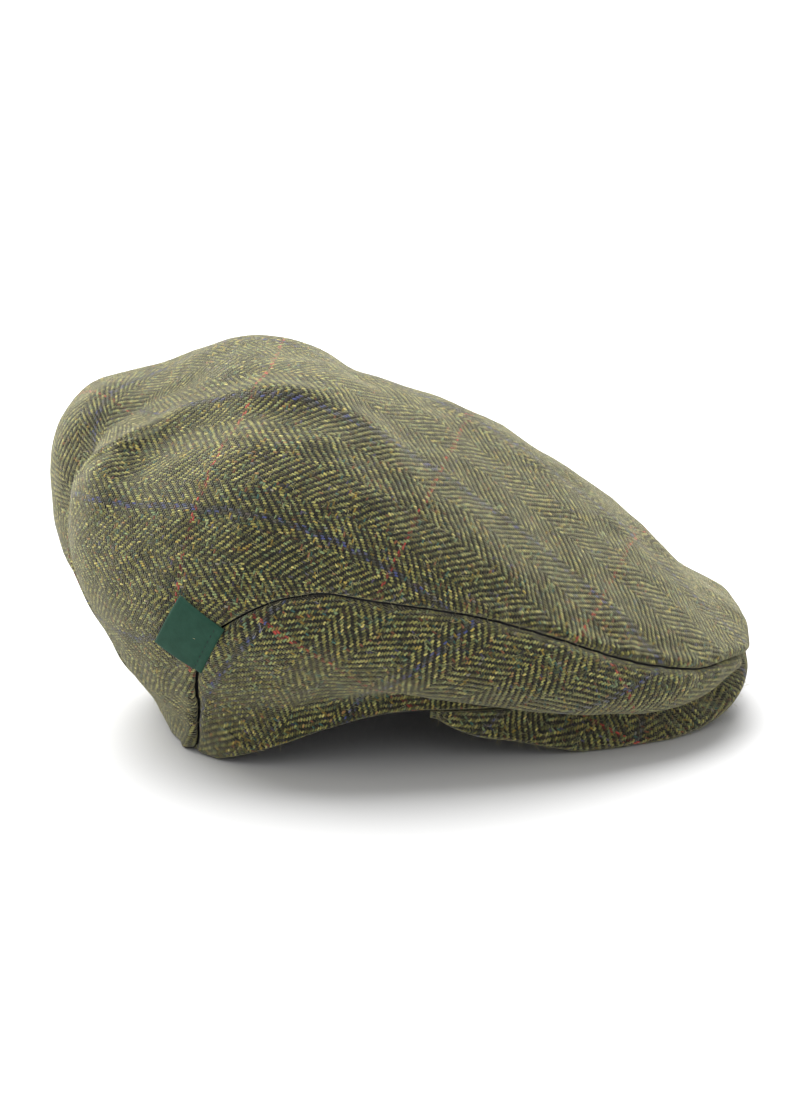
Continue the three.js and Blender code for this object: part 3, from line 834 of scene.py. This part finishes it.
    # painted glints light up some floats, and painted shade darkens the colour between the yarns and where
    # they dive under
    glint = m("ADD", t["dullest"], m("MULTIPLY", m("POWER", luck.outputs[1], 1.4), t["brightest"]))
    grain = m("SUBTRACT", nodeNoise(tree, uvNode.outputs[0], t["grainScale"], 3, 0.7), 0.5)
    shade = m("MULTIPLY", glint, m("ADD", t["between"], m("MULTIPLY", height, t["crown"])))
    shade = m("MULTIPLY", shade, m("MAXIMUM", 0.15, m("ADD", 1, m("MULTIPLY", grain, 2 * t["grain"]))))
    grey = tree.nodes.new("ShaderNodeCombineColor")
    for socket in grey.inputs[:3]:
        tree.links.new(shade, socket)
    cloth = nodeMix(tree, 1.0, cloth, grey.outputs[0], "MULTIPLY")
    tree.links.new(cloth, shader.inputs["Base Color"])
    twist = m("SINE", m("MULTIPLY", m("ADD", across, m("MULTIPLY", along, 1.6)), 6.283))
    hair = nodeNoise(tree, uvNode.outputs[0], t["hairScale"], 2, 0.7)
    fine = m("ADD", m("MULTIPLY", twist, t["twist"]), m("MULTIPLY", hair, t["hair"]))
    addBump(tree, shader, m("ADD", height, fine), t["bump"], t["bumpDepth"])
    return material


def liningMaterial():
    material, tree, shader = plainMaterial("darkLiningAndShade", 0.85)
    coords = tree.nodes.new("ShaderNodeTexCoord")
    mottle = nodeNoise(tree, coords.outputs["Object"], 300, 3)
    # near-black: partly the lining's own dark colour, partly painted shade that darkens the inside of the
    # cap
    colour = nodeRamp(tree, mottle, [(0.3, (0.007, 0.007, 0.007)), (0.7, (0.012, 0.012, 0.0125))])
    tree.links.new(colour, shader.inputs["Base Color"])
    uvNode = tree.nodes.new("ShaderNodeUVMap")
    uvNode.uv_map = "cloth"
    split = tree.nodes.new("ShaderNodeSeparateXYZ")
    tree.links.new(uvNode.outputs[0], split.inputs[0])
    m = lambda operation, *values: nodeMath(tree, operation, *values)
    ribs = [m("SINE", m("MULTIPLY", socket, 12000)) for socket in split.outputs[:2]]
    threads = m("MULTIPLY", ribs[0], ribs[1])
    addBump(tree, shader, threads, 0.25, 0.0001)
    return material


def leatherMaterial():
    material, tree, shader = plainMaterial("greenLeather", 0.7)
    coords = tree.nodes.new("ShaderNodeTexCoord")
    blotch = nodeNoise(tree, coords.outputs["Object"], 260, 4)
    colour = nodeRamp(tree, blotch, [(0.3, (0.007, 0.046, 0.026)), (0.7, (0.012, 0.060, 0.036))])
    tree.links.new(colour, shader.inputs["Base Color"])
    grain = tree.nodes.new("ShaderNodeTexVoronoi")
    grain.inputs["Scale"].default_value = 1700
    tree.links.new(coords.outputs["Object"], grain.inputs["Vector"])
    addBump(tree, shader, grain.outputs["Distance"], 0.35, 0.0002)
    shader.inputs["Specular IOR Level"].default_value = 0.3
    return material


def threadMaterial(name, colour, sheen=0.3):
    material, tree, shader = plainMaterial(name, 0.85, sheen)
    coords = tree.nodes.new("ShaderNodeTexCoord")
    tone = nodeNoise(tree, coords.outputs["Object"], 900, 2)
    dark = tuple(c * 0.6 for c in colour)
    tree.links.new(nodeRamp(tree, tone, [(0.3, dark), (0.7, colour)]), shader.inputs["Base Color"])
    return material


# Label

labelSizes = {
    "length": 23.5, "width": 21, "thickness": 1.2, "turn": 58, "angle": 39.5, "level": 2.84,
    "gap": 0.35, "cells": 26, "soften": 0.9, "stitches": 8, "stitchLength": 1.7,
    "stitchWidth": 0.4, "stitchInset": 3.0, "pressed": 0.35, "pressedSpread": 0.7,
    "bendShare": 0.8, "raised": 0.25, "rowEnds": 2.4,
}


def labelFrame():
    s = labelSizes
    angle, level = np.array([math.radians(s["angle"])]), np.array([s["level"]])
    normal = crownNormals(crownSurface, angle, level)[0]
    centre = crownSurface(angle, level)[0]
    across = unit(np.cross((0, 0, 1), normal))
    rise = unit(np.cross(normal, across))
    turn = math.radians(s["turn"])
    along = across * math.cos(turn) + rise * math.sin(turn)
    beside = rise * math.cos(turn) - across * math.sin(turn)
    # the crown bends away under the label: a quadratic through nearby points says how
    wide, tall = np.meshgrid(np.radians(np.linspace(s["angle"] - 9, s["angle"] + 9, 15)),
                             np.linspace(s["level"] - 0.5, s["level"] + 0.5, 15), indexing="ij")
    near = crownSurface(wide, tall).reshape(-1, 3) - centre
    x, y, h = near @ along, near @ beside, near @ normal
    terms = np.stack([np.ones_like(x), x, y, x * x, x * y, y * y], -1)
    bend = np.linalg.lstsq(terms, h, rcond=None)[0]
    return centre, along, beside, normal, bend


labelPlace = labelFrame()


def onLabel(x, y, lift):
    # a point over the label's middle plane, bent with the crown
    centre, along, beside, normal, bend = labelPlace
    h = bend[0] + bend[1] * x + bend[2] * y + bend[3] * x * x + bend[4] * x * y + bend[5] * y * y
    height = h * labelSizes["bendShare"] + labelSizes["gap"] + labelSizes["raised"] + lift
    return centre + x[..., None] * along + y[..., None] * beside + height[..., None] * normal


def label(material):
    s = labelSizes
    cells = s["cells"]
    a = np.linspace(-1, 1, cells + 1)
    u, v = np.meshgrid(a, a, indexing="ij")
    x, y = u * s["length"] / 2, v * s["width"] / 2
    edge = np.minimum(s["length"] / 2 - np.abs(x), s["width"] / 2 - np.abs(y))
    rounding = s["soften"] * (1 - np.clip(edge / s["soften"], 0, 1)) ** 2 / 2
    fromLine = y + s["width"] / 2 - s["stitchInset"]
    pressedLine = s["pressed"] * np.exp(-(fromLine / s["pressedSpread"]) ** 2)
    top = onLabel(x, y, s["thickness"] - rounding - pressedLine)
    bottom = onLabel(x, y, rounding * 0.3)
    columns = np.concatenate([top, bottom[:, ::-1]], 1)
    uv = np.stack([np.concatenate([x, x], 1), np.concatenate([y, y[:, ::-1]], 1)], -1)
    mesh = gridMesh("leatherTab", columns, uv)
    return finished("leatherTab", mesh, material, capEnds=True)


def labelStitches(material):
    # a row of short thread stitches beside the seam edge of the tab
    s = labelSizes
    shell = bmesh.new()
    y = -s["width"] / 2 + s["stitchInset"]
    for k in range(s["stitches"]):
        x = (k + 0.5 - s["stitches"] / 2) * (s["length"] - s["rowEnds"]) / s["stitches"]
        made = bmesh.ops.create_icosphere(shell, subdivisions=2, radius=1.0)["verts"]
        for vertex in made:
            flat = vertex.co.copy()
            at = np.array([x + flat.x * s["stitchLength"] / 2])
            beside = np.array([y + flat.y * s["stitchWidth"] / 2 + 0.12 * flat.x])
            lift = np.array([s["thickness"] - 0.30 + flat.z * s["stitchWidth"] / 2 - 0.12 * flat.x ** 2])
            vertex.co = toFrame(onLabel(at, beside, lift))[0]
    mesh = bpy.data.meshes.new("tabStitches")
    shell.to_mesh(mesh)
    shell.free()
    return finished("tabStitches", mesh, material)


# Wool fibres by Geometry Nodes

def nodesObject(name, tree, surface, inputs):
    # runs a geometry tree on a surface and keeps the plain mesh that it makes
    helper = placed(name + "Surface", surface)
    modifier = helper.modifiers.new("tree", "NODES")
    modifier.node_group = tree
    for item in tree.interface.items_tree:
        if item.item_type == "SOCKET" and item.in_out == "INPUT" and item.name in inputs:
            modifier[item.identifier] = inputs[item.name]
    bpy.context.view_layer.update()
    graph = bpy.context.evaluated_depsgraph_get()
    mesh = bpy.data.meshes.new_from_object(helper.evaluated_get(graph), depsgraph=graph)
    mesh.name = name
    bpy.data.objects.remove(helper)
    bpy.data.meshes.remove(surface)
    print(name, "has", len(mesh.polygons), "faces")
    return placed(name, mesh)


fuzz = {
    "perSquareMetre": 300000.0, "shortest": 0.4, "longest": 1.3, "length": 0.0022, "thickness": 0.000085,
    "lean": 1.25, "seed": 11, "lowest": 0.0003,
}


def fuzzTree():
    tree = bpy.data.node_groups.new("woolFuzz", "GeometryNodeTree")
    sockets = {"Geometry": "NodeSocketGeometry", "Seed": "NodeSocketInt", "Material": "NodeSocketMaterial"}
    for name in ("Density", "Length", "Thickness", "Shortest", "Longest", "Lean"):
        sockets[name] = "NodeSocketFloat"
    for name, kind in sockets.items():
        tree.interface.new_socket(name, in_out="INPUT", socket_type=kind)
    tree.interface.new_socket("Geometry", in_out="OUTPUT", socket_type="NodeSocketGeometry")
    source = tree.nodes.new("NodeGroupInput")
    sink = tree.nodes.new("NodeGroupOutput")
    link = tree.links.new
    spread = tree.nodes.new("GeometryNodeDistributePointsOnFaces")
    link(source.outputs["Geometry"], spread.inputs["Mesh"])
    link(source.outputs["Density"], spread.inputs["Density"])
    link(source.outputs["Seed"], spread.inputs["Seed"])
    bow = tree.nodes.new("GeometryNodeCurveQuadraticBezier")
    bow.inputs["Resolution"].default_value = 3
    bow.inputs["Start"].default_value = (0, 0, 0)
    bow.inputs["Middle"].default_value = (0.25, 0.1, 0.75)
    bow.inputs["End"].default_value = (0.75, -0.05, 0.95)
    size = tree.nodes.new("GeometryNodeTransform")
    link(bow.outputs[0], size.inputs["Geometry"])
    scale = tree.nodes.new("ShaderNodeCombineXYZ")
    for socket in scale.inputs:
        link(source.outputs["Length"], socket)
    link(scale.outputs[0], size.inputs["Scale"])
    flatLine = tree.nodes.new("GeometryNodeCurvePrimitiveLine")
    end = tree.nodes.new("ShaderNodeCombineXYZ")
    link(source.outputs["Thickness"], end.inputs[0])
    link(end.outputs[0], flatLine.inputs["End"])
    ribbon = tree.nodes.new("GeometryNodeCurveToMesh")
    link(size.outputs[0], ribbon.inputs["Curve"])
    link(flatLine.outputs[0], ribbon.inputs["Profile Curve"])
    place = tree.nodes.new("GeometryNodeInstanceOnPoints")
    link(spread.outputs["Points"], place.inputs["Points"])
    link(ribbon.outputs[0], place.inputs["Instance"])
    link(spread.outputs["Rotation"], place.inputs["Rotation"])
    sizes = tree.nodes.new("FunctionNodeRandomValue")
    link(source.outputs["Shortest"], sizes.inputs[2])
    link(source.outputs["Longest"], sizes.inputs[3])
    link(source.outputs["Seed"], sizes.inputs["Seed"])
    link(sizes.outputs[1], place.inputs["Scale"])
    turn = tree.nodes.new("FunctionNodeRandomValue")
    turn.data_type = "FLOAT_VECTOR"
    low = tree.nodes.new("ShaderNodeCombineXYZ")
    high = tree.nodes.new("ShaderNodeCombineXYZ")
    minus = nodeMath(tree, "MULTIPLY", source.outputs["Lean"], -1.0)
    for socket in low.inputs[:2]:
        link(minus, socket)
    for socket in high.inputs[:2]:
        link(source.outputs["Lean"], socket)
    low.inputs[2].default_value = -math.pi
    high.inputs[2].default_value = math.pi
    link(low.outputs[0], turn.inputs[0])
    link(high.outputs[0], turn.inputs[1])
    link(source.outputs["Seed"], turn.inputs["Seed"])
    spin = tree.nodes.new("GeometryNodeRotateInstances")
    link(place.outputs[0], spin.inputs["Instances"])
    link(turn.outputs[0], spin.inputs["Rotation"])
    real = tree.nodes.new("GeometryNodeRealizeInstances")
    link(spin.outputs[0], real.inputs[0])
    paint = tree.nodes.new("GeometryNodeSetMaterial")
    link(real.outputs[0], paint.inputs["Geometry"])
    link(source.outputs["Material"], paint.inputs["Material"])
    link(paint.outputs[0], sink.inputs[0])
    return tree


def fuzzPiece(name, outerGrids, material):
    helpers = [gridMesh(name, grid, np.zeros((*grid.shape[:2], 2)), False) for grid in outerGrids]
    joined = bmesh.new()
    for mesh in helpers:
        joined.from_mesh(mesh)
    bmesh.ops.remove_doubles(joined, verts=joined.verts, dist=2e-6)
    surface = bpy.data.meshes.new(name + "Surface")
    joined.to_mesh(surface)
    joined.free()
    for mesh in helpers:
        bpy.data.meshes.remove(mesh)
    fibres = nodesObject(name, fuzzTree(), surface, {
        "Density": fuzz["perSquareMetre"], "Length": fuzz["length"], "Thickness": fuzz["thickness"],
        "Shortest": fuzz["shortest"], "Longest": fuzz["longest"], "Lean": fuzz["lean"],
        "Seed": fuzz["seed"], "Material": material,
    })
    for vertex in fibres.data.vertices:
        vertex.co.z = max(vertex.co.z, fuzz["lowest"])
    return fibres


# Build

tweedCloth = tweedMaterial()
liningAndShadeCloth = liningMaterial()
greenLeather = leatherMaterial()
woolFibre = threadMaterial("woolFibre", (0.60, 0.55, 0.31))

topPiece, topOuter = topPanel(tweedCloth)
rightPiece, rightOuter = sidePanel(
    "sidePanelRightCloth", 1, panels["rightTurn"], panels["rightShift"], tweedCloth)
leftPiece, leftOuter = sidePanel(
    "sidePanelLeftCloth", -1, panels["leftTurn"], panels["leftShift"], tweedCloth)
peakPiece, peakOuter = peak(tweedCloth)
liningPiece = lining(liningAndShadeCloth)
labelPiece = label(greenLeather)
stitchPiece = labelStitches(threadMaterial("darkThread", (0.012, 0.030, 0.022), 0.0))
print("pieces made")

topFuzz = fuzzPiece("topPanelFuzz", [topOuter], woolFibre)
sideFuzz = fuzzPiece("sidePanelFuzz", [rightOuter, leftOuter, peakOuter], woolFibre)
print("fibres made")

for piece, node, slot in (
    (topPiece, "crown_top", "tweed"), (rightPiece, "side_panel_right", "tweed"),
    (leftPiece, "side_panel_left", "tweed"), (peakPiece, "peak", "tweed"),
    (liningPiece, "lining", "lining_cloth"), (labelPiece, "label", "green_leather"),
):
    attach(piece, "root")
    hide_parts(node)
for piece in (topFuzz, sideFuzz):
    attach(piece, "root")
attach(stitchPiece, "root")


# Table, light and camera

studio = {
    "sun": 7.6, "sunSpread": 72, "sunFrom": (0.82, 0.16, 0.85), "floorHalf": 40,
    "floorDrop": -0.0003,
    "floorNear": (0.62, 0.62, 0.62), "floorFar": (0.66, 0.66, 0.66),
    "world": (1.0, 1.0, 1.0), "worldStrength": 0.74,
    "leftPlace": (0.9, 1.3, 0.9), "leftSize": (1.0, 0.8), "leftPower": 3.4,
    "leftAim": (0, 0, 0.06),
}

floorMesh = bpy.data.meshes.new("table")
half = studio["floorHalf"]
corners = [(-half, -half, 0), (half, -half, 0), (half, half, 0), (-half, half, 0)]
floorMesh.from_pydata(corners, [], [(0, 1, 2, 3)])
floor = placed("table", floorMesh)
floor.location.z = studio["floorDrop"]
floorMaterial, floorTree, floorShader = plainMaterial("paleTable", 0.6)
floorCoords = floorTree.nodes.new("ShaderNodeTexCoord")
length = floorTree.nodes.new("ShaderNodeVectorMath")
length.operation = "LENGTH"
floorTree.links.new(floorCoords.outputs["Object"], length.inputs[0])
far = nodeMath(floorTree, "DIVIDE", length.outputs["Value"], 2.5)
floorTree.links.new(nodeRamp(floorTree, far, [(0.05, studio["floorNear"]), (0.9, studio["floorFar"])]),
                    floorShader.inputs["Base Color"])
floorMesh.materials.append(floorMaterial)

world = bpy.data.worlds.new("studio")
world.use_nodes = True
world.node_tree.nodes["Background"].inputs[0].default_value = (*studio["world"], 1)
world.node_tree.nodes["Background"].inputs[1].default_value = studio["worldStrength"]
scene.world = world

sunData = bpy.data.lights.new("window", "SUN")
sunData.energy = studio["sun"]
sunData.angle = math.radians(studio["sunSpread"])
sun = placed("window", sunData)
sun.rotation_euler = Vector(studio["sunFrom"]).to_track_quat("Z", "Y").to_euler()

leftData = bpy.data.lights.new("left", "AREA")
leftData.shape = "RECTANGLE"
leftData.size, leftData.size_y = studio["leftSize"]
leftData.energy = studio["leftPower"]
left = placed("left", leftData)
left.location = studio["leftPlace"]
towardCap = Vector(studio["leftAim"]) - Vector(studio["leftPlace"])
left.rotation_euler = towardCap.to_track_quat("-Z", "Y").to_euler()

view = {
    "azimuth": -100, "elevation": 15, "distance": 1.05,
    "target": (0, shiftBack / 1000, 0.058), "lens": 118.125, "sensor": 36,
}
cameraData = bpy.data.cameras.new("photoCamera")
cameraData.sensor_fit = "HORIZONTAL"
cameraData.sensor_width = view["sensor"]
cameraData.lens = view["lens"]
cameraData.clip_end = 100
camera = placed("photoCamera", cameraData)
around, above = math.radians(view["azimuth"]), math.radians(view["elevation"])
toward = Vector((math.sin(around) * math.cos(above), -math.cos(around) * math.cos(above), math.sin(above)))
camera.location = Vector(view["target"]) + toward * view["distance"]
camera.rotation_euler = (-toward).to_track_quat("-Z", "Y").to_euler()
scene.camera = camera
scene.view_settings.view_transform = "Standard"

bpy.context.view_layer.update()
